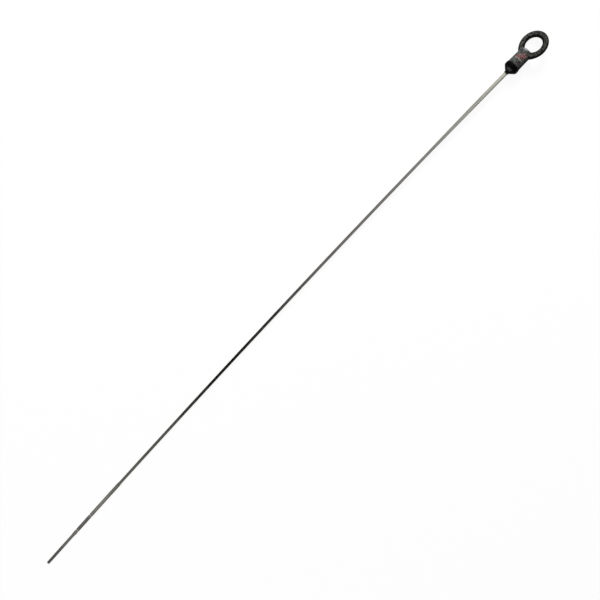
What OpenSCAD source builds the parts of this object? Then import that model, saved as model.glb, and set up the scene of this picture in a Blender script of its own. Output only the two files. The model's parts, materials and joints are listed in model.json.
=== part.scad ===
// Engine oil dipstick: a long steel blade moulded into a grip with an oval finger ring, a
// rubber seal plug on the grip's spigot, and a small collar that keeps the plug up.
// Each piece is drawn in the handle's frame: X along the handle towards the ring, Y across the
// ring, Z through its thickness, and X = 0 at the collar's lower end, where the blade comes out.
// The whole is then rolled and pitched into the pose in which it lies on a flat surface.

/* [Blade] */
// Length of the blade from the collar to the tip, along its bow
blade_l = 906; // [600:1:1100]
// Thickness of the steel strip
blade_t = 1.2; // [0.8:0.1:1.6]
// Width of the strip where it leaves the handle
root_w = 5.4; // [4.8:0.1:5.8]
// Width of the strip along its plain run
run_w = 4; // [3.4:0.1:4.4]
// Length that keeps the root width
root_run_l = 55; // [20:1:90]
// Length over which the root width runs down to the plain width
taper_l = 95; // [40:1:160]
// Length of strip that is buried in the handle
buried_l = 27; // [22:0.5:32]
// Radius of the bow that the blade has taken a set to
bow_r = 17500; // [14000:500:40000]

/* [Measuring zone] */
// Width of the coined zone that carries the level marks
zone_w = 5; // [4.6:0.1:5.6]
// Depth that the coining takes off each face of the zone
coin_in = 0.1; // [0.02:0.01:0.2]
// Length of the coined zone
zone_l = 88; // [70:1:110]
// Distance from the tip to the lower end of the coined zone
zone_from_tip = 55; // [40:1:70]
// Length of the shoulder between two widths of the strip
shoulder_l = 5; // [2:0.5:10]
// Distance from the zone's lower end to the low mark
low_mark_in = 4.5; // [3:0.5:8]
// Distance between the low mark and the high mark
mark_gap = 27; // [18:0.5:40]
// Radius of the notches that make each mark
notch_r = 0.8; // [0.5:0.1:1.1]
// Spacing of the hatching between the marks
hatch_pitch = 1.8; // [1.4:0.1:3]
// Width of a hatching groove at the surface
hatch_w = 0.4; // [0.2:0.05:0.6]

/* [Ring] */
// Length of the finger hole
hole_l = 25.4; // [24.5:0.1:32]
// Width of the finger hole
hole_w = 23.2; // [19:0.1:24]
// Width of the band at the far end
end_band_w = 9.2; // [7:0.1:12]
// Width of the band at the sides
side_band_w = 7.4; // [6.2:0.1:9]
// Extra width of the band where it runs into the barrel
root_flare = 0.9; // [0:0.1:1.6]
// Thickness of the ring
ring_t = 7.5; // [6.5:0.1:9]
// Radius of the ring's outer and inner edges
ring_edge_r = 3; // [1.5:0.1:3]
// Distance that the barrel's nose stands into the finger hole
nose_in = 1.4; // [0.4:0.1:2.4]

/* [Barrel] */
// Length of the barrel
barrel_l = 27.7; // [22:0.1:36]
// Diameter of the barrel at the seal
barrel_rear_d = 19; // [17:0.1:19.6]
// Diameter of the barrel at the nose
barrel_nose_d = 18.2; // [15:0.1:19]
// Radius of the nose's edge
nose_r = 4; // [2:0.1:5]
// Radius of the rear edge
rear_edge_r = 0.5; // [0.2:0.1:1]

/* [Spigot] */
// Wall of the spigot beside the strip
spigot_wall = 1.75; // [1.2:0.05:2.4]
// Length of the spigot
spigot_l = 7.4; // [5.5:0.1:8.4]
// Height of the barb at the spigot's end
barb_h = 0.7; // [0.4:0.1:1]
// Length of the barb
barb_l = 1.8; // [1.2:0.1:2.6]

/* [Seal] */
// Length of the seal
seal_l = 11.7; // [10.8:0.1:15]
// Largest diameter of the seal
seal_d = 20.6; // [20:0.1:23]
// Diameter at the rear edge, against the barrel
seal_rear_d = 20.2; // [19.8:0.1:21.6]
// Width of the front face that shows round the collar
front_step = 0.9; // [0.4:0.1:1.6]
// Angle between the cone and the handle's axis
cone_angle = 46; // [38:1:50]
// Radius that blends the cone into the band
shoulder_r = 4; // [2:0.1:5]
// Radius of the rear edge
seal_edge_r = 0.5; // [0.2:0.1:1]

/* [Collar] */
// Wall of the collar beside the strip
collar_wall = 0.55; // [0.4:0.05:0.9]
// Length of the collar
collar_l = 2.3; // [1.8:0.1:3.5]
// Chamfer of the collar's edges
collar_chamfer = 0.3; // [0.1:0.05:0.5]

/* [Fits] */
// Gap round the buried strip, in the grip, the seal and the collar
strip_gap = 0.05; // [0.02:0.01:0.1]
// Diameter of the keyhole through the buried strip
keyhole_d = 2.6; // [2:0.1:3.2]
// Distance from the keyhole to the strip's buried end
keyhole_in = 5; // [3.5:0.1:7]
// Gap between the seal and the spigot
seal_gap = 0.05; // [0.02:0.01:0.1]

/* [Hidden] */
$fn = 96;
cut = 1; // how far a cutting solid runs past the face it cuts

// Diameters that follow the strip
slot_w = root_w + 2 * strip_gap;
spigot_d = slot_w + 2 * spigot_wall;
collar_d = slot_w + 2 * collar_wall;
seal_front_d = collar_d + 2 * front_step;

// Places along the handle
seal_x = collar_l;
barrel_x = seal_x + seal_l;
nose_x = barrel_x + barrel_l;
hole_x = nose_x - nose_in + hole_l / 2;

// Half axes of the finger hole and of the ring's outline
hole_a = hole_l / 2;
hole_b = hole_w / 2;
ring_a = hole_a + end_band_w;
ring_b = hole_b + side_band_w;
rim_z = ring_t / 2 - ring_edge_r; // where the rim's edge radii start

// Thickness of the coined zone
zone_t = blade_t - 2 * coin_in;

// Places along the blade, measured from the collar
tip_c = blade_l - run_w / 2;
zone_end = blade_l - zone_from_tip;
zone_start = zone_end - zone_l;
low_mark = zone_end - low_mark_in;
high_mark = low_mark - mark_gap;
widths = [
    [0, root_w], [root_run_l, root_w], [root_run_l + taper_l, run_w],
    [zone_start - shoulder_l, run_w], [zone_start, zone_w],
    [zone_end, zone_w], [zone_end + shoulder_l, run_w], [blade_l, run_w]
];
thicknesses = [
    [zone_start - shoulder_l, blade_t], [zone_start, zone_t],
    [zone_end, zone_t], [zone_end + shoulder_l, blade_t]
];
station_step = 20; // longest straight piece of the bowed outline
tip_steps = 12; // straight pieces of the round tip

// Points of an arc about a centre, from one angle to another
function arc(c, r, from, to, n = 8) =
    [for (i = [0 : n]) let (a = from + (to - from) * i / n) c + r * [cos(a), sin(a)]];

// Angle of the bow, its centre line and its +Y normal at a distance along the blade
function bow_angle(d) = d / bow_r * 180 / PI;
function bow_point(d) = bow_r * [-sin(bow_angle(d)), cos(bow_angle(d)) - 1];
function bow_normal(d) = [-sin(bow_angle(d)), cos(bow_angle(d))];
function bow_edge(d, side) = bow_point(d) + side * lookup(d, widths) / 2 * bow_normal(d);

// Distances at which the outline has a point: every change of width, and short steps between
function steps(a, b) = let (n = ceil((b - a) / station_step)) [for (i = [0 : n - 1]) a + (b - a) * i / n];
stations = [
    for (i = [0 : len(widths) - 3]) each steps(widths[i][0], widths[i + 1][0]),
    each steps(zone_end + shoulder_l, tip_c), tip_c
];
tip_arc = arc(
    bow_point(tip_c), run_w / 2, 90 + bow_angle(tip_c), 270 + bow_angle(tip_c), tip_steps
);
plus_edge = [for (d = stations) bow_edge(d, 1)];
minus_edge = [for (i = [len(stations) - 1 : -1 : 0]) bow_edge(stations[i], -1)];
blade_outline = concat(
    [[buried_l, -root_w / 2], [buried_l, root_w / 2]], plus_edge, tip_arc, minus_edge
);

// Section of the ring's band, w wide, with rounded corners, as [distance from the hole, height]
corner_steps = 4;
section_n = 4 * (corner_steps + 1);
function band_section(w) = [
    each arc([w - ring_edge_r, rim_z], ring_edge_r, 0, 90, corner_steps),
    each arc([ring_edge_r, rim_z], ring_edge_r, 90, 180, corner_steps),
    each arc([ring_edge_r, -rim_z], ring_edge_r, 180, 270, corner_steps),
    each arc([w - ring_edge_r, -rim_z], ring_edge_r, 270, 360, corner_steps)
];

// How much wider the band is at a turn round the hole: a swelling where it leaves the barrel
flare_at = 180 - asin(barrel_nose_d / 2 / ring_b);
flare_span = 14;
function flare(turn) =
    let (off = (min(turn, 360 - turn) - flare_at) / flare_span) root_flare * exp(-off * off);

// That section carried round the finger hole, from the hole's ellipse out to the ring's
ring_stations = 72;
ring_points = [
    for (i = [0 : ring_stations - 1])
        let (
            turn = 360 * i / ring_stations,
            inside = [hole_x + hole_a * cos(turn), hole_b * sin(turn)],
            outside = [hole_x + ring_a * cos(turn), ring_b * sin(turn)],
            outward = (outside - inside) / norm(outside - inside)
        )
        for (q = band_section(norm(outside - inside) + flare(turn)))
            let (p = inside + outward * q.x) [p.x, p.y, q.y]
];

// The shoulder of the seal: its arc meets the cone and the band
shoulder_y = seal_d / 2 - shoulder_r;
shoulder_x = seal_x + shoulder_r * sin(cone_angle)
    + (shoulder_y + shoulder_r * cos(cone_angle) - seal_front_d / 2) / tan(cone_angle);

// A point of the handle's frame after the roll and the pitch
function laid(p, roll, pitch) =
    let (y = p.y * cos(roll) + p.z * sin(roll), z = p.z * cos(roll) - p.y * sin(roll))
    [p.x * cos(pitch) - z * sin(pitch), y, p.x * sin(pitch) + z * cos(pitch)];

// Heights of the lowest points of the seal, the ring and the blade, for an axis at height 0
blade_points = [
    for (face = [-1, 1]) each [
        for (d = stations, side = [-1, 1])
            let (p = bow_edge(d, side)) [p.x, p.y, face * lookup(d, thicknesses) / 2],
        for (p = tip_arc) [p.x, p.y, face * blade_t / 2]
    ]
];
function seal_low(pitch) = shoulder_x * sin(pitch) - seal_d / 2 * cos(pitch);
function ring_low(roll, pitch) = min([for (p = ring_points) laid(p, roll, pitch).z]);
function blade_low(roll, pitch) = min([for (p = blade_points) laid(p, roll, pitch).z]);

// The pitch at which the blade and the seal touch the same surface, by halving a range
halvings = 24;
steepest_pitch = 4;
function pitch_for(roll, low = 0, high = steepest_pitch, n = halvings) =
    let (mid = (low + high) / 2)
    n == 0 ? mid
        : blade_low(roll, mid) > seal_low(mid) ? pitch_for(roll, mid, high, n - 1)
        : pitch_for(roll, low, mid, n - 1);
// The roll at which the ring's edge touches it too
roll_range = [5, 60];
function roll_for(low = roll_range[0], high = roll_range[1], n = halvings) =
    let (mid = (low + high) / 2, pitch = pitch_for(mid))
    n == 0 ? mid
        : ring_low(mid, pitch) > seal_low(pitch) ? roll_for(mid, high, n - 1)
        : roll_for(low, mid, n - 1);
roll = roll_for();
pitch = pitch_for(roll);
lift = -seal_low(pitch);

// The limits of the whole as it lies, which put the origin on the surface under its middle
spread = [for (p = concat(ring_points, blade_points)) laid(p, roll, pitch)];
x_range = [for (p = spread) p.x];
y_range = [for (p = spread) p.y];
middle = [(min(x_range) + max(x_range)) / 2, (min(y_range) + max(y_range)) / 2];

// Lays what is drawn in the handle's frame down as it rests
module lay() {
    translate([-middle.x, -middle.y, lift])
        rotate([0, -pitch, 0]) rotate([-roll, 0, 0]) children();
}

// Turns a profile drawn as [along the handle, radius] about the handle's axis
module turned() {
    rotate([90, 0, 90]) rotate_extrude() rotate(90) mirror([0, 1]) children();
}

// Places a child on the blade's centre line, with its X along the strip
module on_blade(d) {
    translate(bow_point(d)) rotate(bow_angle(d)) children();
}

module blade() {
    color([0.68, 0.68, 0.65]) lay() difference() {
        linear_extrude(blade_t, center = true) polygon(blade_outline);
        translate([buried_l - keyhole_in, 0, 0])
            cylinder(d = keyhole_d, h = blade_t + 2 * cut, center = true);
        for (d = [low_mark, high_mark], side = [-1, 1])
            on_blade(d) translate([0, side * zone_w / 2, 0])
                cylinder(r = notch_r, h = blade_t + 2 * cut, center = true, $fn = 32);
        for (side = [0, 1]) mirror([0, 0, side]) coining();
        hatching();
    }
}

// What the coining takes off one face of the strip, with a ramp along each shoulder
module coining() {
    ramp_end = zone_l / 2 + shoulder_l;
    on_blade((zone_start + zone_end) / 2) rotate([90, 0, 0])
        linear_extrude(zone_w + 2 * cut, center = true) polygon([
            [-ramp_end, blade_t / 2], [-zone_l / 2, zone_t / 2],
            [zone_l / 2, zone_t / 2], [ramp_end, blade_t / 2],
            [ramp_end, blade_t / 2 + cut], [-ramp_end, blade_t / 2 + cut]
        ]);
}

// Shallow V grooves, crossed, between the two marks on the upper face
module hatching() {
    reach = zone_w * sqrt(2) + 2 * cut; // long enough to cross the strip at 45 degrees
    first = high_mark + notch_r + zone_w / 2;
    last = low_mark - notch_r - zone_w / 2;
    for (d = [first : hatch_pitch : last], turn = [-45, 45])
        on_blade(d) translate([0, 0, zone_t / 2]) rotate(turn) rotate([45, 0, 0])
            cube([reach, hatch_w / sqrt(2), hatch_w / sqrt(2)], center = true);
}

// The room for the buried strip, from a place along the handle to the strip's end
module strip_room(from) {
    length = buried_l + strip_gap - from;
    translate([from + length / 2, 0, 0])
        cube([length, slot_w, blade_t + 2 * strip_gap], center = true);
}

module ring() {
    polyhedron(ring_points, [
        for (i = [0 : ring_stations - 1], k = [0 : section_n - 1])
            let (j = (i + 1) % ring_stations, m = (k + 1) % section_n)
            [i * section_n + k, i * section_n + m, j * section_n + m, j * section_n + k]
    ]);
}

module barrel() {
    rear = barrel_rear_d / 2;
    nose = barrel_nose_d / 2;
    turned() polygon(concat(
        [[barrel_x, 0]],
        arc([barrel_x + rear_edge_r, rear - rear_edge_r], rear_edge_r, 180, 90, 4),
        arc([nose_x - nose_r, nose - nose_r], nose_r, 90, 0, 12),
        [[nose_x, 0]]
    ));
}

// Section of the spigot and its barb, grown by a gap, from the barrel's face
module spigot_profile(gap = 0) {
    r = spigot_d / 2 + gap;
    end = barrel_x - spigot_l - gap;
    polygon([
        [barrel_x + cut, 0], [barrel_x + cut, r], [end + barb_l + 2 * gap, r],
        [end + barb_l + 2 * gap, r + barb_h], [end + barb_l / 2, r + barb_h], [end, r], [end, 0]
    ]);
}

module grip() {
    peg_d = keyhole_d - 2 * strip_gap;
    peg_bite = 0.5; // how far the peg runs into the moulding on each side
    color([0.26, 0.27, 0.26]) lay() {
        difference() {
            union() {
                ring();
                barrel();
                turned() spigot_profile();
            }
            strip_room(barrel_x - spigot_l - cut);
        }
        translate([buried_l - keyhole_in, 0, 0])
            cylinder(d = peg_d, h = blade_t + 2 * strip_gap + 2 * peg_bite, center = true);
    }
}

module seal() {
    color([0.05, 0.05, 0.05]) lay() difference() {
        turned() polygon(concat(
            [[seal_x, 0], [seal_x, seal_front_d / 2]],
            arc([shoulder_x, shoulder_y], shoulder_r, 90 + cone_angle, 90, 10),
            arc([barrel_x - seal_edge_r, seal_rear_d / 2 - seal_edge_r], seal_edge_r, 90, 0, 4),
            [[barrel_x, 0]]
        ));
        turned() spigot_profile(seal_gap);
        strip_room(seal_x - cut);
    }
}

module collar() {
    color([0.07, 0.07, 0.07]) lay() difference() {
        translate([collar_l / 2, 0, 0]) rotate([0, 90, 0]) {
            cylinder(d = collar_d, h = collar_l - 2 * collar_chamfer, center = true);
            for (side = [0, 1]) mirror([0, 0, side]) translate([0, 0, collar_l / 2 - collar_chamfer])
                cylinder(d1 = collar_d, d2 = collar_d - 2 * collar_chamfer, h = collar_chamfer);
        }
        strip_room(-cut);
    }
}

blade();
grip();
seal();
collar();
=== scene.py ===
import json
import math
import bmesh
import bpy
import numpy as np
from mathutils import Matrix, Vector


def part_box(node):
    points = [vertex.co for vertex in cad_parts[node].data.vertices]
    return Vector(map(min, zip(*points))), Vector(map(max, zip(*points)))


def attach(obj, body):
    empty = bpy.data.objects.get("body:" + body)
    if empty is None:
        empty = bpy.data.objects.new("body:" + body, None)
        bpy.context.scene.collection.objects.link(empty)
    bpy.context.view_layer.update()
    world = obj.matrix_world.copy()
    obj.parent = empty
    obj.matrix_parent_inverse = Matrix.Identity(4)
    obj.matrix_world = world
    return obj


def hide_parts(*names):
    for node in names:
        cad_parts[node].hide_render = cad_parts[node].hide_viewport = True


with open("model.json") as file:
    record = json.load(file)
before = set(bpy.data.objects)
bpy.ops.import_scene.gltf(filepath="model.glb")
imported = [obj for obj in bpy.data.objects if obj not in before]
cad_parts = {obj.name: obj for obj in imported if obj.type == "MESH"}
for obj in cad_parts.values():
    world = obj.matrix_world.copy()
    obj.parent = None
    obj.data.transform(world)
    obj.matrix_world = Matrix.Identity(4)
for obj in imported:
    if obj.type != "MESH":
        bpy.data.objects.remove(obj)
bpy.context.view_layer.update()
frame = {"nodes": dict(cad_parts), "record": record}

print("frame loaded, with", ", ".join(sorted(frame["nodes"])))

# The handle's own frame: X towards the ring, Y across the ring, Z through its thickness,
# starting at the collar's lower end. Pieces are modelled there in millimetres and then laid down
collar = {"length": 2.3}
perMetre = 1000  # millimetres


def findHandle():
    guide = next(m for m in frame["record"]["mounts"] if m["name"] == "tube_guide")
    alongHandle = -Vector(guide["axis"]).normalized()
    start = Vector(guide["pos_m"]) - alongHandle * collar["length"] / (2 * perMetre)
    pitch = math.atan2(alongHandle.z, alongHandle.x)
    level = Matrix.Rotation(pitch, 4, "Y")
    ringStart = (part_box("grip")[0].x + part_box("grip")[1].x) / 2
    spots = {tuple(round(c, 6) for c in level @ v.co)  # each corner once, to a micrometre
             for v in frame["nodes"]["grip"].data.vertices if v.co.x > ringStart}
    spread = np.cov(np.array(sorted(spots))[:, 1:].T)  # the ring's corners spread most across its face
    roll = -0.5 * math.atan2(2 * spread[0, 1], spread[0, 0] - spread[1, 1])
    turn = Matrix.Rotation(-pitch, 4, "Y") @ Matrix.Rotation(-roll, 4, "X")
    print("handle pitched %.2f and rolled %.2f degrees" % (math.degrees(pitch), math.degrees(roll)))
    return Matrix.Translation(start) @ turn @ Matrix.Scale(1 / perMetre, 4), roll


handlePlace, handleRoll = findHandle()

# Camera straight above the stick, with the handle at the upper right
camera = {
    "overX": 0.0032, "overY": -0.0128, "height": 1.6694, "turn": -45.62, "lens": 73.96, "clipEnd": 50,
}


def makeCamera():
    data = bpy.data.cameras.new("overheadCamera")
    data.lens = camera["lens"]
    data.clip_end = camera["clipEnd"]
    view = bpy.data.objects.new("overheadCamera", data)
    view.location = (camera["overX"], camera["overY"], camera["height"])
    view.rotation_euler = (0, 0, math.radians(camera["turn"]))
    bpy.context.scene.collection.objects.link(view)
    bpy.context.scene.camera = view


makeCamera()
print("camera set")


# Small tools for modelling
def onlySelect(piece):
    bpy.ops.object.select_all(action="DESELECT")
    piece.select_set(True)
    bpy.context.view_layer.objects.active = piece


def startPiece(name, addPrimitive, **settings):
    bpy.ops.object.select_all(action="DESELECT")
    addPrimitive(**settings)
    piece = bpy.context.object
    piece.name = name
    return piece


def edit(piece, mode="VERT"):
    onlySelect(piece)
    bpy.ops.object.mode_set(mode="EDIT")
    bpy.ops.mesh.select_mode(type=mode)


def leaveEdit():
    bpy.ops.object.mode_set(mode="OBJECT")


def pickVerts(piece, test):
    shape = bmesh.from_edit_mesh(piece.data)
    bpy.ops.mesh.select_all(action="DESELECT")
    for vert in shape.verts:
        if test(vert.co):
            vert.select_set(True)
    shape.select_flush(True)
    bmesh.update_edit_mesh(piece.data)


def pickEdges(piece, test):
    shape = bmesh.from_edit_mesh(piece.data)
    bpy.ops.mesh.select_all(action="DESELECT")
    for edge in shape.edges:
        if test(edge):
            edge.select_set(True)
    bmesh.update_edit_mesh(piece.data)


def finishWith(piece, kind, **settings):
    onlySelect(piece)
    modifier = piece.modifiers.new(kind.lower(), kind)
    for key, value in settings.items():
        setattr(modifier, key, value)
    bpy.ops.object.modifier_apply(modifier=modifier.name)


def combine(piece, other, how):
    finishWith(piece, "BOOLEAN", operation=how, object=other, solver="MANIFOLD")
    bpy.data.objects.remove(other)


# Points of a profile round a centre, between two angles in degrees
def arc(centreX, centreR, radius, start, stop, steps):
    turns = [math.radians(start + (stop - start) * i / steps) for i in range(steps + 1)]
    return [(centreX + radius * math.cos(a), centreR + radius * math.sin(a)) for a in turns]


# Extrudes one vertex along a profile of (along the handle, radius) and spins it about the handle
def turnProfile(name, profile, steps=128):
    piece = startPiece(name, bpy.ops.mesh.primitive_plane_add, size=1)
    edit(piece)
    bpy.ops.mesh.select_all(action="SELECT")
    bpy.ops.mesh.merge(type="CENTER")
    bpy.ops.transform.translate(value=(profile[0][0], 0, profile[0][1]))
    for here, there in zip(profile, profile[1:]):
        step = (there[0] - here[0], 0, there[1] - here[1])
        bpy.ops.mesh.extrude_region_move(TRANSFORM_OT_translate={"value": step})
    bpy.ops.mesh.select_all(action="SELECT")
    bpy.ops.mesh.spin(steps=steps, angle=2 * math.pi, center=(0, 0, 0), axis=(1, 0, 0))
    closeUp()
    leaveEdit()
    return piece


# Merges doubles, in edit mode, and turns the faces outwards
def closeUp(closest=0.0005):
    bpy.ops.mesh.select_all(action="SELECT")
    bpy.ops.mesh.remove_doubles(threshold=closest)
    bpy.ops.mesh.normals_make_consistent(inside=False)


# Merges what the cuts left too thin to be a face
def clearSlivers(piece, size=0.002):
    edit(piece)
    bpy.ops.mesh.select_all(action="SELECT")
    bpy.ops.mesh.quads_convert_to_tris(quad_method="BEAUTY", ngon_method="BEAUTY")
    bpy.ops.mesh.dissolve_degenerate(threshold=size)
    bpy.ops.mesh.remove_doubles(threshold=size)
    leaveEdit()


# A box from one corner to the other, to cut with
def makeBlock(name, low, high):
    block = startPiece(name, bpy.ops.mesh.primitive_cube_add, size=1)
    edit(block)
    bpy.ops.mesh.select_all(action="SELECT")
    bpy.ops.transform.resize(value=[b - a for a, b in zip(low, high)])
    bpy.ops.transform.translate(value=[(a + b) / 2 for a, b in zip(low, high)])
    leaveEdit()
    return block


# Lays a finished piece down where its CAD node is, with its place in its mesh
def layDown(piece, node, shadeAngle=35):
    onlySelect(piece)
    bpy.ops.object.shade_smooth_by_angle(angle=math.radians(shadeAngle))
    piece.matrix_world = handlePlace
    bpy.ops.object.transform_apply(location=True, rotation=True, scale=True)
    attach(piece, "root")
    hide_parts(node)
    print(piece.name, "laid down with", len(piece.data.polygons), "faces")


# The blade: a strip of spring steel with rolled edges, a coined zone and a round tip
blade = {
    "length": 905.9, "thickness": 1.2, "edgeRound": 0.22, "edgeSteps": 4, "rootWidth": 5.4,
    "runWidth": 4, "rootRun": 55, "taper": 95, "buried": 27, "bowRadius": 17500, "station": 20,
    "zoneWidth": 5, "coinIn": 0.1, "zoneLength": 88, "zoneFromTip": 54.9, "shoulder": 5,
    "lowMarkIn": 4.5, "markGap": 27, "notchRadius": 0.8, "hatchPitch": 1.8, "hatchWidth": 0.4,
    "hatchSlant": 45, "hatchPast": 1, "keyholeDiameter": 2.6, "keyholeIn": 5, "punchSteps": 40,
    "tipSteps": 10,
}


# The bow: how far the blade has turned at a distance from the collar, and where its middle is
def bowTurn(distance):
    return distance / blade["bowRadius"]


def bowPoint(distance):
    turn = bowTurn(distance)
    return Vector((-blade["bowRadius"] * math.sin(turn), blade["bowRadius"] * (math.cos(turn) - 1), 0))


# Places along the blade with its width and thickness there, with a step of the bow between them
def bladeStations():
    zoneEnd = blade["length"] - blade["zoneFromTip"]
    zoneStart = zoneEnd - blade["zoneLength"]
    full, coined = blade["thickness"], blade["thickness"] - 2 * blade["coinIn"]
    root, run, zone = (blade["rootWidth"], full), (blade["runWidth"], full), (blade["zoneWidth"], coined)
    tipStart, tipRound = blade["length"] - blade["runWidth"] / 2, blade["runWidth"] / 2
    changes = [
        (0, *root), (blade["rootRun"], *root), (blade["rootRun"] + blade["taper"], *run),
        (zoneStart - blade["shoulder"], *run), (zoneStart, *zone),
        (zoneEnd, *zone), (zoneEnd + blade["shoulder"], *run), (tipStart, *run),
    ]
    stations = [changes[0]]
    for start, stop in zip(changes, changes[1:]):
        count = math.ceil((stop[0] - start[0]) / blade["station"])
        for i in range(1, count + 1):
            stations.append([a + (b - a) * i / count for a, b in zip(start, stop)])
    for i in range(1, blade["tipSteps"]):
        turn = math.pi / 2 * i / blade["tipSteps"]
        stations.append((tipStart + tipRound * math.sin(turn), 2 * tipRound * math.cos(turn), full))
    return stations


# The rounded cross-section, extruded along the bow from the end in the handle to the tip
def modelStrip():
    strip = startPiece("steelBlade", bpy.ops.mesh.primitive_plane_add, size=1)
    edit(strip)
    bpy.ops.mesh.select_all(action="SELECT")
    bpy.ops.transform.rotate(value=math.pi / 2, orient_axis="Y", center_override=(0, 0, 0))
    bpy.ops.transform.resize(value=(1, blade["rootWidth"], blade["thickness"]))
    bpy.ops.mesh.bevel(offset=blade["edgeRound"], offset_type="OFFSET", segments=blade["edgeSteps"],
                       affect="VERTICES")
    bpy.ops.transform.translate(value=(blade["buried"], 0, 0))
    here, turned = Vector((blade["buried"], 0, 0)), 0
    width, thickness = blade["rootWidth"], blade["thickness"]
    for distance, nextWidth, nextThickness in bladeStations():
        there, turn = bowPoint(distance), bowTurn(distance)
        grow = (1, nextWidth / width, nextThickness / thickness)
        bpy.ops.mesh.extrude_region_move(TRANSFORM_OT_translate={"value": there - here})
        bpy.ops.transform.resize(value=grow, center_override=there)
        bpy.ops.transform.rotate(value=turned - turn, orient_axis="Z", center_override=there)
        here, turned, width, thickness = there, turn, nextWidth, nextThickness
    closeUp()
    leaveEdit()
    return strip


# A round punch through the blade, at a place along its bow and aside of its middle
def makePunch(radius, distance, aside):
    spot = bowPoint(distance) + Vector((0, aside, 0))
    return startPiece("punch", bpy.ops.mesh.primitive_cylinder_add, vertices=blade["punchSteps"],
                      radius=radius, depth=3 * blade["thickness"], location=spot)


# A square bar laid on its edge across the coined zone, to cut a groove
def makeGroove(distance, slant):
    reach = blade["zoneWidth"] / math.sqrt(2) + blade["hatchPast"]
    side = blade["hatchWidth"] / math.sqrt(2) / 2
    groove = makeBlock("groove", (-reach, -side, -side), (reach, side, side))
    face = Vector((0, 0, blade["thickness"] / 2 - blade["coinIn"]))
    place = Matrix.Translation(bowPoint(distance) + face)
    turn = Matrix.Rotation(math.radians(slant) + bowTurn(distance), 4, "Z")
    groove.matrix_world = place @ turn @ Matrix.Rotation(math.radians(45), 4, "X")
    return groove


# Notches on both edges at each mark, the keyhole, and crossed grooves between the marks
def bladeCutters():
    lowMark = blade["length"] - blade["zoneFromTip"] - blade["lowMarkIn"]
    highMark = lowMark - blade["markGap"]
    halfZone = blade["zoneWidth"] / 2
    cutters = [makePunch(blade["notchRadius"], place, aside)
               for place in (lowMark, highMark) for aside in (-halfZone, halfZone)]
    cutters.append(makePunch(blade["keyholeDiameter"] / 2, blade["keyholeIn"] - blade["buried"], 0))
    spot = highMark + blade["notchRadius"] + halfZone
    while spot <= lowMark - blade["notchRadius"] - halfZone:
        for slant in (-blade["hatchSlant"], blade["hatchSlant"]):
            cutters.append(makeGroove(spot, slant))
        spot += blade["hatchPitch"]
    return cutters


def makeBlade():
    strip = modelStrip()
    for cutter in bladeCutters():
        combine(strip, cutter, "DIFFERENCE")
    clearSlivers(strip)
    layDown(strip, "blade")
    return strip


# The grip: an oval finger ring that runs into a round barrel, with a spigot inside the seal
grip = {
    "holeLength": 25.4, "holeWidth": 23.2, "endBand": 9.1, "sideBand": 7.32, "ringThickness": 7.5,
    "ringSteps": 160, "ringEdge": 3, "ringEdgeSteps": 10, "sharpAngle": 1,
    "flare": 0.9, "flareSpan": 14, "flareSteps": 6, "rimWithin": 0.01,
    "barrelStart": 14, "barrelLength": 27.7, "noseIn": 1.4, "rearDiameter": 19, "noseDiameter": 18.2,
    "rearRound": 0.5, "rearSteps": 5, "noseRound": 4, "noseSteps": 16,
    "voxel": 0.3, "fillet": 0.6, "smoothing": 0.5, "smoothSteps": (6, 5), "shadeAngle": 50,
    "seamWidth": 0.2, "seamHeight": 0.09, "stripGap": 0.05,
    "spigotDiameter": 9, "spigotLength": 7.4, "spigotOverlap": 1, "barbHeight": 0.7, "barbLength": 1.8,
}
noseX = grip["barrelStart"] + grip["barrelLength"]
holeX = noseX - grip["noseIn"] + grip["holeLength"] / 2
ringA, ringB = grip["holeLength"] / 2 + grip["endBand"], grip["holeWidth"] / 2 + grip["sideBand"]


# The hole's outline, widened to the band, extruded and rounded on its sharp edges
def modelRing():
    holeA, holeB = grip["holeLength"] / 2, grip["holeWidth"] / 2
    half = grip["ringThickness"] / 2
    ring = startPiece("ring", bpy.ops.mesh.primitive_circle_add, vertices=grip["ringSteps"], radius=1,
                      fill_type="NOTHING")
    edit(ring, "EDGE")
    bpy.ops.mesh.select_all(action="SELECT")
    bpy.ops.transform.resize(value=(holeA, holeB, 1), center_override=(0, 0, 0))
    bpy.ops.transform.translate(value=(holeX, 0, -half))
    bpy.ops.mesh.extrude_edges_move()
    bpy.ops.transform.resize(value=(ringA / holeA, ringB / holeB, 1), center_override=(holeX, 0, -half))
    flareOut(ring)
    bpy.ops.mesh.select_mode(type="FACE")
    bpy.ops.mesh.select_all(action="SELECT")
    bpy.ops.mesh.extrude_region_move(TRANSFORM_OT_translate={"value": (0, 0, grip["ringThickness"])})
    closeUp()
    bpy.ops.mesh.select_mode(type="EDGE")
    pickEdges(ring, lambda edge: edge.calc_face_angle(0) > grip["sharpAngle"])
    bpy.ops.mesh.bevel(offset=grip["ringEdge"], offset_type="OFFSET", segments=grip["ringEdgeSteps"],
                       affect="EDGES")
    leaveEdit()
    return ring


# The ring's outer edge swells a little where it runs into the barrel, on both sides
def flareOut(ring):
    flareAt = math.pi - math.asin(grip["noseDiameter"] / 2 / ringB)
    span, steps = math.radians(grip["flareSpan"]), grip["flareSteps"]
    bpy.ops.mesh.select_mode(type="VERT")
    for side in (-1, 1):
        for i in range(-2 * steps, 2 * steps + 1):
            turn = flareAt + span * i / steps
            pickVerts(ring, lambda co: onRim(co, side, turn, span / (2 * steps)))
            swell = grip["flare"] * math.exp(-(i / steps) ** 2)
            outward = Vector((math.cos(turn) / ringA, side * math.sin(turn) / ringB, 0)).normalized()
            bpy.ops.transform.translate(value=outward * swell)


# Whether a corner is on the ring's outer edge, close to a turn about the hole on one side
def onRim(co, side, turn, closeTo):
    along, aside = (co.x - holeX) / ringA, side * co.y / ringB
    return (abs(math.atan2(aside, along) - turn) < closeTo
            and abs(math.hypot(aside, along) - 1) < grip["rimWithin"])


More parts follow.
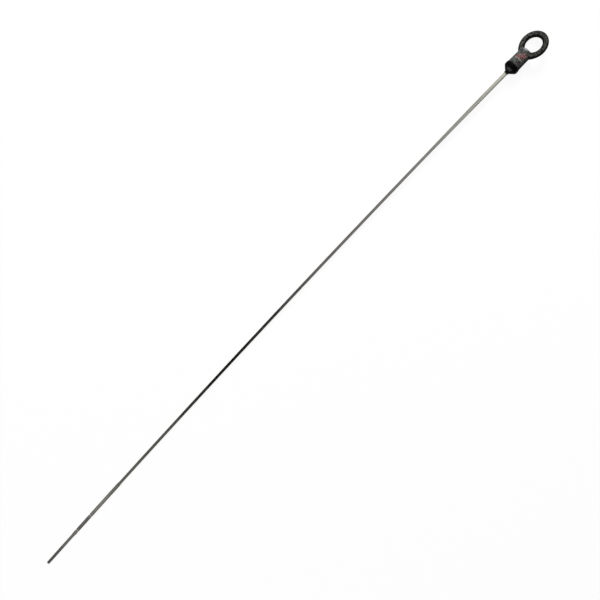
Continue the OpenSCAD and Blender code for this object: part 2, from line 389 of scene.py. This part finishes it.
# A solid barrel with rounded ends, whose nose stands a little into the finger hole
def modelBarrel():
    rear, nose = grip["rearDiameter"] / 2, grip["noseDiameter"] / 2
    start, edge, tip = grip["barrelStart"], grip["rearRound"], grip["noseRound"]
    profile = [(start, 0)] + arc(start + edge, rear - edge, edge, 180, 90, grip["rearSteps"])
    profile += arc(noseX - tip, nose - tip, tip, 90, 0, grip["noseSteps"]) + [(noseX, 0)]
    return turnProfile("barrel", profile)


def modelSpigot():
    root, end = grip["barrelStart"] + grip["spigotOverlap"], grip["barrelStart"] - grip["spigotLength"]
    radius, barb = grip["spigotDiameter"] / 2, grip["spigotDiameter"] / 2 + grip["barbHeight"]
    return turnProfile("spigot", [
        (root, 0), (root, radius), (end + grip["barbLength"], radius), (end + grip["barbLength"], barb),
        (end + grip["barbLength"] / 2, barb), (end, radius), (end, 0),
    ])


# Swelling the joined shapes and shrinking them again leaves a fillet where ring and barrel meet
def blendFillets(moulding):
    finishWith(moulding, "REMESH", mode="VOXEL", voxel_size=grip["voxel"])
    for swell, steps in zip((grip["fillet"], -grip["fillet"]), grip["smoothSteps"]):
        finishWith(moulding, "DISPLACE", strength=swell, mid_level=0)
        finishWith(moulding, "REMESH", mode="VOXEL", voxel_size=grip["voxel"])
        finishWith(moulding, "SMOOTH", factor=grip["smoothing"], iterations=steps)


# Room for the strip inside the mouldings, up to a place along the handle
def makeStripRoom(stop):
    wide, thick = blade["rootWidth"] / 2 + grip["stripGap"], blade["thickness"] / 2 + grip["stripGap"]
    return makeBlock("stripRoom", (0, -wide, -thick), (stop, wide, thick))


def makeGrip():
    moulding = modelRing()
    moulding.name = "gripMoulding"
    barrel = modelBarrel()
    onlySelect(moulding)
    barrel.select_set(True)
    bpy.ops.object.join()
    blendFillets(moulding)
    edit(moulding)
    pickVerts(moulding, lambda co: abs(co.z) < grip["seamWidth"])
    bpy.ops.transform.shrink_fatten(value=grip["seamHeight"])  # the seam stands up where the halves meet
    leaveEdit()
    combine(moulding, modelSpigot(), "UNION")
    gap = grip["stripGap"]
    room = makeStripRoom(blade["buried"] + gap)
    peg = makePunch(blade["keyholeDiameter"] / 2 - gap, blade["keyholeIn"] - blade["buried"], 0)
    combine(room, peg, "DIFFERENCE")
    combine(moulding, room, "DIFFERENCE")
    layDown(moulding, "grip", grip["shadeAngle"])
    return moulding


# The seal: a rubber plug with a cone, a rounded band and a faint moulding line round it
seal = {
    "length": 11.7, "diameter": 20.46, "rearDiameter": 20.1, "frontDiameter": 8.4, "coneAngle": 46,
    "shoulderRound": 4, "shoulderSteps": 16, "edgeRound": 0.5, "edgeSteps": 6, "frontRound": 0.3,
    "gap": 0.05, "slotShort": 2, "turnSteps": 160,
    "lineIn": 1.4, "lineSunk": 0.0625, "lineHeight": 0.07, "lineWidth": 0.3,
}


def makeSeal():
    start = collar["length"]
    stop, cone, bend = start + seal["length"], math.radians(seal["coneAngle"]), seal["shoulderRound"]
    centreR, front = seal["diameter"] / 2 - bend, seal["frontDiameter"] / 2
    coneRun = (centreR + bend * math.cos(cone) - front) / math.tan(cone)
    centreX = start + bend * math.sin(cone) + coneRun
    # The front face, the cone and the band's shoulder
    profile = [(start, 0), (start, front - seal["frontRound"]), (start + seal["frontRound"] / 3, front)]
    profile += arc(centreX, centreR, bend, 90 + seal["coneAngle"], 90, seal["shoulderSteps"])
    # The moulding line
    lineX, lineR = centreX + seal["lineIn"], seal["diameter"] / 2 - seal["lineSunk"]
    wide, crest = seal["lineWidth"], seal["lineWidth"] / 3
    profile += [(lineX - wide, lineR), (lineX - crest, lineR + seal["lineHeight"]),
                (lineX + crest, lineR + seal["lineHeight"]), (lineX + wide, lineR)]
    edge, rear = seal["edgeRound"], seal["rearDiameter"] / 2
    profile += arc(stop - edge, rear - edge, edge, 90, 0, seal["edgeSteps"])
    # The hollow over the spigot and its barb
    spigot = grip["spigotDiameter"] / 2 + seal["gap"]
    barb = spigot + grip["barbHeight"]
    barbStart = grip["barrelStart"] - grip["spigotLength"] - seal["gap"]
    barbStop = barbStart + grip["barbLength"] + 2 * seal["gap"]
    profile += [(stop, spigot), (barbStop, spigot), (barbStop, barb)]
    profile += [((barbStart + barbStop) / 2, barb), (barbStart, spigot), (barbStart, 0)]
    rubber = turnProfile("rubberSeal", profile, seal["turnSteps"])
    combine(rubber, makeStripRoom(stop - seal["slotShort"]), "DIFFERENCE")
    layDown(rubber, "seal")
    return rubber


steelBlade = makeBlade()
gripMoulding = makeGrip()
rubberSeal = makeSeal()
collarNode = frame["nodes"]["collar"]


# Small tools for materials
def newMaterial(name, settings):
    material = bpy.data.materials.new(name)
    material.use_nodes = True
    shader = material.node_tree.nodes["Principled BSDF"]
    for key, value in settings.items():
        shader.inputs[key].default_value = value
    return material, material.node_tree, shader


def setInput(tree, socket, value):
    if isinstance(value, bpy.types.NodeSocket):
        tree.links.new(value, socket)
    elif socket.type == "RGBA":
        socket.default_value = (*value, 1)
    else:
        socket.default_value = value


def addNode(tree, kind, inputs, **settings):
    node = tree.nodes.new("ShaderNode" + kind)
    for key, value in settings.items():
        setattr(node, key, value)
    for key, value in inputs.items():
        setInput(tree, node.inputs[key], value)
    return node


def addMath(tree, operation, first, second=0.0):
    return addNode(tree, "Math", {0: first, 1: second}, operation=operation).outputs[0]


def add(tree, first, second):
    return addMath(tree, "ADD", first, second)


def subtract(tree, first, second):
    return addMath(tree, "SUBTRACT", first, second)


def multiply(tree, first, second):
    return addMath(tree, "MULTIPLY", first, second)


def divide(tree, first, second):
    return addMath(tree, "DIVIDE", first, second)


def larger(tree, first, second):
    return addMath(tree, "MAXIMUM", first, second)


def absolute(tree, value):
    return addMath(tree, "ABSOLUTE", value)


# How far a place lies, from how far it is along and aside
def howFar(tree, along, aside):
    return addMath(tree, "SQRT", add(tree, multiply(tree, along, along), multiply(tree, aside, aside)))


def stretch(tree, value, low, high, toLow=0.0, toHigh=1.0):
    inputs = {"Value": value, "From Min": low, "From Max": high, "To Min": toLow, "To Max": toHigh}
    return addNode(tree, "MapRange", inputs, interpolation_type="SMOOTHSTEP").outputs[0]


# A value between two others, by a share from 0 to 1
def between(tree, share, low, high):
    return stretch(tree, share, 0, 1, low, high)


def mixColour(tree, share, first, second, blend="MIX"):
    node = addNode(tree, "Mix", {0: share, 6: first, 7: second}, data_type="RGBA", blend_type=blend)
    return node.outputs[2]


def addNoise(tree, place, noise):
    return addNode(tree, "TexNoise", {"Vector": place, **noise}).outputs[0]


# Noise that goes from -reach to reach, from the middle values that it mostly has
def addWobble(tree, place, noise, reach):
    return stretch(tree, addNoise(tree, place, noise), 0.3, 0.7, -reach, reach)


def splitVector(tree, vector):
    return addNode(tree, "SeparateXYZ", {0: vector}).outputs


def ramp(tree, value, stops):
    node = addNode(tree, "ValToRGB", {0: value})
    band = node.color_ramp
    while len(band.elements) < len(stops):
        band.elements.new(0.5)
    for element, (place, colour) in zip(band.elements, stops):
        element.position = place
        element.color = (*colour, 1)
    return node.outputs["Color"]


def newGroup(name, inputs, outputs):
    tree = bpy.data.node_groups.new(name, "ShaderNodeTree")
    for socketName, kind, value in inputs:
        socket = tree.interface.new_socket(socketName, in_out="INPUT", socket_type="NodeSocket" + kind)
        if value is not None:
            socket.default_value = value
    for socketName, kind in outputs:
        tree.interface.new_socket(socketName, in_out="OUTPUT", socket_type="NodeSocket" + kind)
    return tree, tree.nodes.new("NodeGroupInput").outputs, tree.nodes.new("NodeGroupOutput").inputs


def useGroup(tree, group, **inputs):
    node = tree.nodes.new("ShaderNodeGroup")
    node.node_tree = group
    for key, value in inputs.items():
        setInput(tree, node.inputs[key], value)
    return node.outputs


# Place in millimetres and facing, both in the handle's frame
def makeHandleFrame():
    tree, _, put = newGroup("handleFrame", [], [("Place", "Vector"), ("Facing", "Vector")])
    place, turn, size = handlePlace.inverted().decompose()
    spots = addNode(tree, "TexCoord", {}).outputs
    inputs = {"Vector": spots["Object"], "Location": place, "Rotation": turn.to_euler("XYZ"), "Scale": size}
    tree.links.new(addNode(tree, "Mapping", inputs, vector_type="POINT").outputs[0], put["Place"])
    inputs = {"Vector": spots["Normal"], "Rotation": turn.to_euler("XYZ")}
    tree.links.new(addNode(tree, "Mapping", inputs, vector_type="VECTOR").outputs[0], put["Facing"])
    return tree


# Soft blotches of a given size in millimetres, from 0 to 1
def makeBlotches():
    tree, given, put = newGroup("blotches", [
        ("Place", "Vector", None), ("Size", "Float", 2.0), ("Detail", "Float", 4.0),
        ("Low", "Float", 0.35), ("High", "Float", 0.65)], [("Share", "Float")])
    noise = {"Scale": divide(tree, 1, given["Size"]), "Detail": given["Detail"], "Roughness": 0.6}
    share = stretch(tree, addNoise(tree, given["Place"], noise), given["Low"], given["High"])
    tree.links.new(share, put["Share"])
    return tree


# Fine scratches along the handle's X, slanted both ways, where the noise is near its top
scratchCut = {"top": 0.78, "drop": 0.25, "soft": 0.05, "noise": {"Scale": 1, "Detail": 2}}


def makeScratches():
    tree, given, put = newGroup("scratches", [
        ("Place", "Vector", None), ("Length", "Float", 8.0), ("Thickness", "Float", 0.25),
        ("Share", "Float", 0.3), ("Slant", "Float", 0.2)], [("Mask", "Float")])
    total = None
    for way in (1, -1):
        inputs = {"Vector": given["Place"], "Angle": multiply(tree, given["Slant"], way)}
        turned = addNode(tree, "VectorRotate", inputs, rotation_type="Z_AXIS").outputs[0]
        thin = divide(tree, 1, given["Thickness"])
        inputs = {0: divide(tree, 1, given["Length"]), 1: thin, 2: thin}
        scale = addNode(tree, "CombineXYZ", inputs).outputs[0]
        squeezed = addNode(tree, "VectorMath", {0: turned, 1: scale}, operation="MULTIPLY").outputs[0]
        noise = addNoise(tree, squeezed, scratchCut["noise"])
        edge = subtract(tree, scratchCut["top"], multiply(tree, given["Share"], scratchCut["drop"]))
        mask = stretch(tree, noise, edge, add(tree, edge, scratchCut["soft"]))
        total = mask if total is None else larger(tree, total, mask)
    tree.links.new(total, put["Mask"])
    return tree


handleFrame = makeHandleFrame()
blotches = makeBlotches()
scratches = makeScratches()


def addBlotches(tree, place, size, detail, low, high):
    return useGroup(tree, blotches, Place=place, Size=size, Detail=detail, Low=low, High=high)["Share"]


def addScratches(tree, place, length, thickness, share, slant):
    given = {"Place": place, "Length": length, "Thickness": thickness, "Share": share, "Slant": slant}
    return useGroup(tree, scratches, **given)["Mask"]


# Rubbed edges, from a piece's pointiness, broken up by blotches
edgeCloud = (1.6, 5.0, 0.4, 0.6)


def makeRubbedEdges():
    tree, given, put = newGroup("rubbedEdges", [
        ("Pointiness", "Float", 0.5), ("Place", "Vector", None), ("Start", "Float", 0.51),
        ("Full", "Float", 0.56)], [("Mask", "Float")])
    edge = stretch(tree, given["Pointiness"], given["Start"], given["Full"])
    broken = addBlotches(tree, given["Place"], *edgeCloud)
    tree.links.new(multiply(tree, edge, broken), put["Mask"])
    return tree


rubbedEdges = makeRubbedEdges()


def addBump(tree, shader, height, depth, strength=1.0):
    node = addNode(tree, "Bump", {"Height": height, "Distance": depth, "Strength": strength})
    tree.links.new(node.outputs[0], shader.inputs["Normal"])


# In the looks, blotches are given by size, detail, low and high, scratches by length, thickness,
# share and slant, and a fade by where it starts and where it is full

# Steel: bare and pale near the handle, near black along the middle, brown and dull at the tip. These tones
# along the blade are partly old oil and partly a painted reflection of the surroundings
steelLook = {
    "shader": {"Metallic": 1.0, "Anisotropic": 0.4},
    "stops": [
        (0.0, (0.33, 0.325, 0.285)), (0.06, (0.225, 0.22, 0.198)), (0.12, (0.18, 0.18, 0.165)),
        (0.2, (0.143, 0.14, 0.13)), (0.3, (0.13, 0.125, 0.116)), (0.4, (0.107, 0.1, 0.093)),
        (0.45, (0.068, 0.065, 0.062)), (0.5, (0.022, 0.022, 0.021)), (0.57, (0.006, 0.006, 0.006)),
        (0.64, (0.011, 0.011, 0.0095)), (0.68, (0.03, 0.029, 0.025)), (0.72, (0.068, 0.067, 0.059)),
        (0.78, (0.076, 0.076, 0.064)), (0.84, (0.095, 0.095, 0.085)), (0.88, (0.185, 0.175, 0.163)),
        (0.93, (0.175, 0.169, 0.158)), (0.965, (0.07, 0.07, 0.063)), (1.0, (0.062, 0.061, 0.056)),
    ],
    "wander": 0.012, "wanderNoise": {"Scale": 0.05, "Detail": 5}, "paintedDarkening": (0.42, 0.42, 0.38),
    "shadeAcross": (0, -1.5), "shadeAlong": (0.1, 0), "rimAcross": (0.8, 1.8), "rimFade": 0.01, "rimShare": 0.9,
    "stains": (9.0, 6.0, 0.48, 0.72), "stain": (0.45, 0.4, 0.34), "stainShare": 0.35,
    "rustAlong": (0.62, 0.9), "flecks": (2.5, 4.0, 0.55, 0.66), "rust": (0.1, 0.08, 0.055),
    "rustShare": 0.5, "scratches": (30.0, 0.2, 0.55, 0.02), "scratch": (0.5, 0.5, 0.47),
    "scratchShare": 0.25, "sideShadeFacing": (0.93, 0.6), "sideShadeColour": (0.05, 0.048, 0.042),
    "edgeShare": 0.8, "roughness": (0.34, 0.5), "rustRough": 0.08, "rolled": (0.02, 6, 6),
    "grain": {"Scale": 1, "Detail": 3}, "pits": (0.6, 3.0, 0.6, 0.75), "grainDepth": 0.00002,
}


# Painted shade on one side of the root, and a darker rim on both edges from the coined zone down
def steelShadeAndRim(tree, share, aside):
    look = steelLook
    paintedDarkening = multiply(tree, stretch(tree, aside, *look["shadeAcross"]), stretch(tree, share, *look["shadeAlong"]))
    zoneShare = 1 - (blade["zoneFromTip"] + blade["zoneLength"]) / blade["length"]
    rim = multiply(tree, stretch(tree, share, zoneShare, zoneShare + look["rimFade"]),
                   stretch(tree, absolute(tree, aside), *look["rimAcross"]))
    return larger(tree, paintedDarkening, multiply(tree, rim, look["rimShare"]))


def makeSteel():
    material, tree, shader = newMaterial("oiledSpringSteel", steelLook["shader"])
    look = steelLook
    spots = useGroup(tree, handleFrame)
    place = spots["Place"]
    along, across = splitVector(tree, place)[:2]
    share = divide(tree, along, -blade["length"])
    share = add(tree, share, addWobble(tree, place, look["wanderNoise"], look["wander"]))
    # The ramp along the blade is partly old oil and partly painted reflection: pale near the handle, near
    # black along the middle
    colour = ramp(tree, share, look["stops"])
    bow = divide(tree, multiply(tree, along, along), 2 * blade["bowRadius"])
    paintedDarkening = steelShadeAndRim(tree, share, add(tree, across, bow))
    colour = mixColour(tree, paintedDarkening, colour, look["paintedDarkening"], "MULTIPLY")
    stain = addBlotches(tree, place, *look["stains"])
    colour = mixColour(tree, multiply(tree, stain, look["stainShare"]), colour, look["stain"], "MULTIPLY")
    rusty = stretch(tree, share, *look["rustAlong"])
    fleck = multiply(tree, addBlotches(tree, place, *look["flecks"]), rusty)
    colour = mixColour(tree, multiply(tree, fleck, look["rustShare"]), colour, look["rust"])
    score = addScratches(tree, place, *look["scratches"])
    colour = mixColour(tree, multiply(tree, score, look["scratchShare"]), colour, look["scratch"])
    # Painted shade on the strip's thin sides and rounded edges, wherever they face away from the handle's Z
    edge = stretch(tree, absolute(tree, splitVector(tree, spots["Facing"])[2]), *look["sideShadeFacing"])
    colour = mixColour(tree, multiply(tree, edge, look["edgeShare"]), colour, look["sideShadeColour"])
    tree.links.new(colour, shader.inputs["Base Color"])
    rough = between(tree, stain, *look["roughness"])
    tree.links.new(add(tree, rough, multiply(tree, rusty, look["rustRough"])), shader.inputs["Roughness"])
    rolled = addNode(tree, "VectorMath", {0: place, 1: look["rolled"]}, operation="MULTIPLY").outputs[0]
    grain = addNoise(tree, rolled, look["grain"])
    pits = multiply(tree, addBlotches(tree, place, *look["pits"]), rusty)
    addBump(tree, shader, subtract(tree, grain, pits), look["grainDepth"])
    return material


# Grip: charcoal plastic, mottled pale on the ring's flat faces, with painted shade on the ring's walls and
# rounded edges
plasticLook = {
    "shader": {"Specular IOR Level": 0.04, "Coat Roughness": 0.22},
    "side": (0.0015, 0.0015, 0.0014), "face": (0.0045, 0.0045, 0.004), "paleFace": (0.105, 0.105, 0.097),
    "mottle": (2.0, 5.0, 0.41, 0.59), "fine": (0.7, 3.0, 0.4, 0.7), "fineShare": 0.35,
    "patches": (3.4, 3.0, 0.4, 0.6), "patchLeast": 0.45, "flatFacing": (0.3, 0.6),
    "innerRim": (0.66, 0.74), "outerRim": (0.955, 0.9), "rimShift": 0.6,
    "ringAlong": (37, 42), "ringBeside": (8.6, 9.6),
    "barrel": (0.085, 0.085, 0.079), "barrelDark": (0.02, 0.02, 0.019),
    "litSideTint": (0.105, 0.12, 0.116), "litSideCloud": (6.0, 3.0, 0.42, 0.56), "litSideShare": 0.8,
    "litSideStart": (-2, 5), "litSideEnd": (20, 12),
    "rubbed": (0.11, 0.11, 0.103), "edgeStart": 0.505, "edgeFull": 0.54, "edgeShare": 0.5,
    "scratches": (7.0, 0.3, 0.5, 0.5), "scratchShare": 0.35, "scratchDepth": 0.6,
    "paintedHighlight": (0.36, 0.36, 0.38), "highlightAlong": 39.7, "highlightReach": 1.6, "highlightAside": 4.6,
    "highlightSpan": 7, "highlightLeast": 0.65, "roughness": (0.5, 0.68), "polish": 0.15,
    "grain": {"Scale": 4, "Detail": 4, "Roughness": 0.7}, "grainDepth": 0.00005, "grainStrength": 0.7,
    "paintHeight": 0.5,
}


# Distance round the barrel from the meridian that faces up, in millimetres
def unrollBarrel(tree, place):
    turned = addNode(tree, "VectorRotate", {"Vector": place, "Angle": -handleRoll}, rotation_type="X_AXIS")
    along, across, through = splitVector(tree, turned.outputs[0])
    turn = addMath(tree, "ARCTAN2", across, through)
    return along, multiply(tree, turn, grip["rearDiameter"] / 2)


# A painted highlight round a spot on the handle, soft at its ends
def highlightPatch(tree, place, look):
    along, aside = unrollBarrel(tree, place)
    fromSpot = absolute(tree, subtract(tree, along, look["highlightAlong"]))
    fromMiddle = absolute(tree, subtract(tree, aside, look["highlightAside"]))
    return multiply(tree, stretch(tree, fromSpot, look["highlightReach"], look["highlightReach"] / 4),
                    stretch(tree, fromMiddle, look["highlightSpan"], look["highlightSpan"] / 3))


# A worn dab of dull-red paint across the barrel, with a row of pale dots beside it
mark = {
    "along": 28.2, "aside": 1.4, "slant": -50, "halfLength": 7.8, "halfWidth": 3.3, "dabSoft": 0.25,
    "ragged": 0.9, "raggedNoise": {"Scale": 0.9, "Detail": 4}, "red": (0.155, 0.05, 0.055),
    "pale": (0.33, 0.26, 0.25), "wear": (1.4, 5.0, 0.38, 0.47), "flecks": (1.8, 3.0, 0.54, 0.6),
    "dotsAlong": 23.6, "dotPitch": 2.7, "dotRadius": 0.95, "dotSoft": 0.15,
    "dotsFrom": -5.4, "dotsTo": 8.1, "rowSoft": 0.1, "dotColour": (0.36, 0.37, 0.33),
    "dotStrength": (0.6, 0.95),
}


# How much of the paint dab shows at a place
def markDab(tree, place, along, aside):
    slant = math.radians(mark["slant"])
    fromX = subtract(tree, along, mark["along"])
    fromY = subtract(tree, aside, mark["aside"])
    lengthways = add(tree, multiply(tree, fromX, math.cos(slant)), multiply(tree, fromY, math.sin(slant)))
    sideways = subtract(tree, multiply(tree, fromY, math.cos(slant)), multiply(tree, fromX, math.sin(slant)))
    capLength = mark["halfLength"] - mark["halfWidth"]
    past = larger(tree, subtract(tree, absolute(tree, lengthways), capLength), 0)
    reach = howFar(tree, past, sideways)
    reach = add(tree, reach, addWobble(tree, place, mark["raggedNoise"], mark["ragged"]))
    return stretch(tree, reach, mark["halfWidth"] + mark["dabSoft"], mark["halfWidth"] - mark["dabSoft"])


# How much of the row of dots shows at a place
def markDots(tree, along, aside):
    cell = subtract(tree, addMath(tree, "FRACT", divide(tree, aside, mark["dotPitch"])), 0.5)
    reach = howFar(tree, multiply(tree, cell, mark["dotPitch"]), subtract(tree, along, mark["dotsAlong"]))
    dots = stretch(tree, reach, mark["dotRadius"] + mark["dotSoft"], mark["dotRadius"] - mark["dotSoft"])
    inRow = multiply(
        tree, stretch(tree, aside, mark["dotsFrom"] - mark["rowSoft"], mark["dotsFrom"] + mark["rowSoft"]),
        stretch(tree, aside, mark["dotsTo"] + mark["rowSoft"], mark["dotsTo"] - mark["rowSoft"]))
    return multiply(tree, dots, inRow)


# Puts the paint on a colour, and also returns where it stands up
def paintMark(tree, place, colour, mottle):
    along, aside = unrollBarrel(tree, place)
    dab, dots = markDab(tree, place, along, aside), markDots(tree, along, aside)
    wear = addBlotches(tree, place, *mark["wear"])
    red = mixColour(tree, addBlotches(tree, place, *mark["flecks"]), mark["red"], mark["pale"])
    colour = mixColour(tree, multiply(tree, dab, wear), colour, red)
    faded = between(tree, mottle, *mark["dotStrength"])
    colour = mixColour(tree, multiply(tree, dots, faded), colour, mark["dotColour"])
    return colour, larger(tree, dab, dots)


# How far a place is from the hole's middle, where 1 is the ring's outer edge
def ringReach(tree, along, across):
    lengthways = divide(tree, subtract(tree, along, holeX), ringA)
    return howFar(tree, lengthways, divide(tree, across, ringB))


# The ring: mottled on its flat faces, with painted shade, near black, on its walls and rounded edges
def ringColour(tree, spots, along, across, mottle):
    look = plasticLook
    patches = between(tree, addBlotches(tree, spots["Place"], *look["patches"]), look["patchLeast"], 1)
    face = mixColour(tree, multiply(tree, mottle, patches), look["face"], look["paleFace"])
    fine = multiply(tree, addBlotches(tree, spots["Place"], *look["fine"]), look["fineShare"])
    face = mixColour(tree, fine, face, look["side"])
    # The face colour keeps to the flat faces inside the rims, and the rest is painted shade; rimShift moves
    # the rims across the ring, wider on one side
    reach = ringReach(tree, along, add(tree, across, look["rimShift"]))
    flat = multiply(tree, stretch(tree, reach, *look["innerRim"]), stretch(tree, reach, *look["outerRim"]))
    facing = absolute(tree, splitVector(tree, spots["Facing"])[2])
    flat = multiply(tree, flat, stretch(tree, facing, *look["flatFacing"]))
    return mixColour(tree, flat, look["side"], face)


# The barrel: mottled, with a pale teal tint on one side, partly the plastic's own tint and partly painted
# light on its lit side
def barrelColour(tree, place, mottle):
    look = plasticLook
    aside = unrollBarrel(tree, place)[1]
    litSideTint = addBlotches(tree, place, *look["litSideCloud"])
    litSideTint = multiply(tree, litSideTint, stretch(tree, aside, *look["litSideStart"]))
    litSideTint = multiply(tree, litSideTint, stretch(tree, aside, *look["litSideEnd"]))
    colour = mixColour(tree, mottle, look["barrelDark"], look["barrel"])
    return mixColour(tree, multiply(tree, litSideTint, look["litSideShare"]), colour, look["litSideTint"])


def makePlastic():
    material, tree, shader = newMaterial("scuffedCharcoalPlastic", plasticLook["shader"])
    look = plasticLook
    spots = useGroup(tree, handleFrame)
    place = spots["Place"]
    along, across = splitVector(tree, place)[:2]
    mottle = addBlotches(tree, place, *look["mottle"])
    onRing = larger(tree, stretch(tree, along, *look["ringAlong"]),
                    stretch(tree, absolute(tree, across), *look["ringBeside"]))
    colour = mixColour(tree, onRing, barrelColour(tree, place, mottle),
                       ringColour(tree, spots, along, across, mottle))
    colour, paint = paintMark(tree, place, colour, mottle)
    point = addNode(tree, "NewGeometry", {}).outputs["Pointiness"]
    given = {"Pointiness": point, "Place": place, "Start": look["edgeStart"], "Full": look["edgeFull"]}
    edges = multiply(tree, useGroup(tree, rubbedEdges, **given)["Mask"], look["edgeShare"])
    score = addScratches(tree, place, *look["scratches"])
    worn = larger(tree, edges, multiply(tree, score, look["scratchShare"]))
    colour = mixColour(tree, worn, colour, look["rubbed"])
    # Painted highlight on the nose's rounded edge; the coat's gloss lies on the same patch
    paintedHighlight = multiply(tree, highlightPatch(tree, place, look), between(tree, mottle, look["highlightLeast"], 1))
    tree.links.new(mixColour(tree, paintedHighlight, colour, look["paintedHighlight"]), shader.inputs["Base Color"])
    tree.links.new(paintedHighlight, shader.inputs["Coat Weight"])
    rough = between(tree, mottle, *look["roughness"])
    tree.links.new(subtract(tree, rough, multiply(tree, worn, look["polish"])), shader.inputs["Roughness"])
    height = subtract(tree, addNoise(tree, place, look["grain"]), multiply(tree, score, look["scratchDepth"]))
    height = add(tree, height, multiply(tree, paint, look["paintHeight"]))
    addBump(tree, shader, height, look["grainDepth"], look["grainStrength"])
    return material


# Rubber: near black and oily, with a little grey dust in its grain and a painted highlight on the cone by the
# collar
rubberLook = {
    "shader": {"Specular IOR Level": 0.02},
    "black": (0.0005, 0.0004, 0.0005), "dust": (1.8, 5.0, 0.58, 0.75), "dusty": (0.01, 0.008, 0.01),
    "paintedHighlight": (0.09, 0.085, 0.09), "highlightAlong": 5, "highlightReach": 2.6, "highlightAside": 1, "highlightSpan": 7,
    "cloud": (2.0, 3.0, 0.32, 0.62), "highlightLeast": 0.3, "roughness": (0.45, 0.75),
    "grain": {"Scale": 3, "Detail": 3}, "grainDepth": 0.00003, "grainStrength": 0.6,
}


def makeRubber():
    material, tree, shader = newMaterial("oiledBlackRubber", rubberLook["shader"])
    look = rubberLook
    place = useGroup(tree, handleFrame)["Place"]
    dusty = addBlotches(tree, place, *look["dust"])
    colour = mixColour(tree, dusty, look["black"], look["dusty"])
    # Painted highlight on the cone by the collar, broken up by a cloud
    cloudy = between(tree, addBlotches(tree, place, *look["cloud"]), look["highlightLeast"], 1)
    paintedHighlight = multiply(tree, highlightPatch(tree, place, look), cloudy)
    tree.links.new(mixColour(tree, paintedHighlight, colour, look["paintedHighlight"]), shader.inputs["Base Color"])
    tree.links.new(between(tree, dusty, *look["roughness"]), shader.inputs["Roughness"])
    addBump(tree, shader, addNoise(tree, place, look["grain"]), look["grainDepth"], look["grainStrength"])
    return material


# Collar: the same black plastic all over, with a few short scratches
collarLook = {
    "shader": {"Specular IOR Level": 0.05},
    "black": (0.001, 0.001, 0.001), "rubbed": (0.02, 0.02, 0.019), "scratches": (2.0, 0.2, 0.6, 0.3),
    "scratchShare": 0.6, "roughness": (0.4, 0.6), "scratchDepth": -0.00003,
}


def makeCollarPlastic():
    material, tree, shader = newMaterial("blackCollarPlastic", collarLook["shader"])
    look = collarLook
    place = useGroup(tree, handleFrame)["Place"]
    score = addScratches(tree, place, *look["scratches"])
    colour = mixColour(tree, multiply(tree, score, look["scratchShare"]), look["black"], look["rubbed"])
    tree.links.new(colour, shader.inputs["Base Color"])
    tree.links.new(between(tree, score, *look["roughness"]), shader.inputs["Roughness"])
    addBump(tree, shader, score, look["scratchDepth"])
    return material


def dress(piece, material):
    piece.data.materials.clear()
    piece.data.materials.append(material)


dress(steelBlade, makeSteel())
dress(gripMoulding, makePlastic())
dress(rubberSeal, makeRubber())
dress(collarNode, makeCollarPlastic())
print("materials made")

# The floor is pale, and white to the camera and to reflections, less the object's shadow
stage = {"size": 12, "floorShade": 0.09, "glow": 0.915, "worldLight": 0.42, "white": (1, 1, 1, 1)}


# 1 for what the camera sees, straight or in a reflection or through glass
def cameraSees(tree):
    path = addNode(tree, "LightPath", {}).outputs
    seen = larger(tree, path["Is Camera Ray"], path["Is Glossy Ray"])
    return larger(tree, seen, path["Is Transmission Ray"])


def makeFloor():
    floor = startPiece("floor", bpy.ops.mesh.primitive_plane_add, size=stage["size"])
    shade = stage["floorShade"]
    material, tree, shader = newMaterial("paleFloor", {
        "Base Color": (shade, shade, shade, 1), "Roughness": 1, "Specular IOR Level": 0,
        "Emission Color": stage["white"],
    })
    tree.links.new(multiply(tree, cameraSees(tree), stage["glow"]), shader.inputs["Emission Strength"])
    floor.data.materials.append(material)


def makeWorld():
    world = bpy.data.worlds.new("paleWorld")
    world.use_nodes = True
    bpy.context.scene.world = world
    tree = world.node_tree
    background = tree.nodes["Background"].inputs
    background["Color"].default_value = stage["white"]
    tree.links.new(larger(tree, cameraSees(tree), stage["worldLight"]), background["Strength"])


# Soft boxes: the key beyond the ring's end, a fill on the tip's side, both off the camera's line
lamps = {
    "key": {"place": (1.6, 1.05, 1.35), "size": 0.7, "power": 34},
    "fill": {"place": (-1.5, 0.9, 1.6), "size": 1.2, "power": 12},
}


def makeLamps():
    for name, lamp in lamps.items():
        data = bpy.data.lights.new(name + "Lamp", "AREA")
        data.size = lamp["size"]
        data.energy = lamp["power"]
        light = bpy.data.objects.new(name + "Lamp", data)
        light.location = lamp["place"]
        light.rotation_euler = (-Vector(lamp["place"])).to_track_quat("-Z", "Y").to_euler()
        bpy.context.scene.collection.objects.link(light)


makeFloor()
makeWorld()
makeLamps()
bpy.context.scene.view_settings.view_transform = "Standard"
print("floor, world and lamps set")
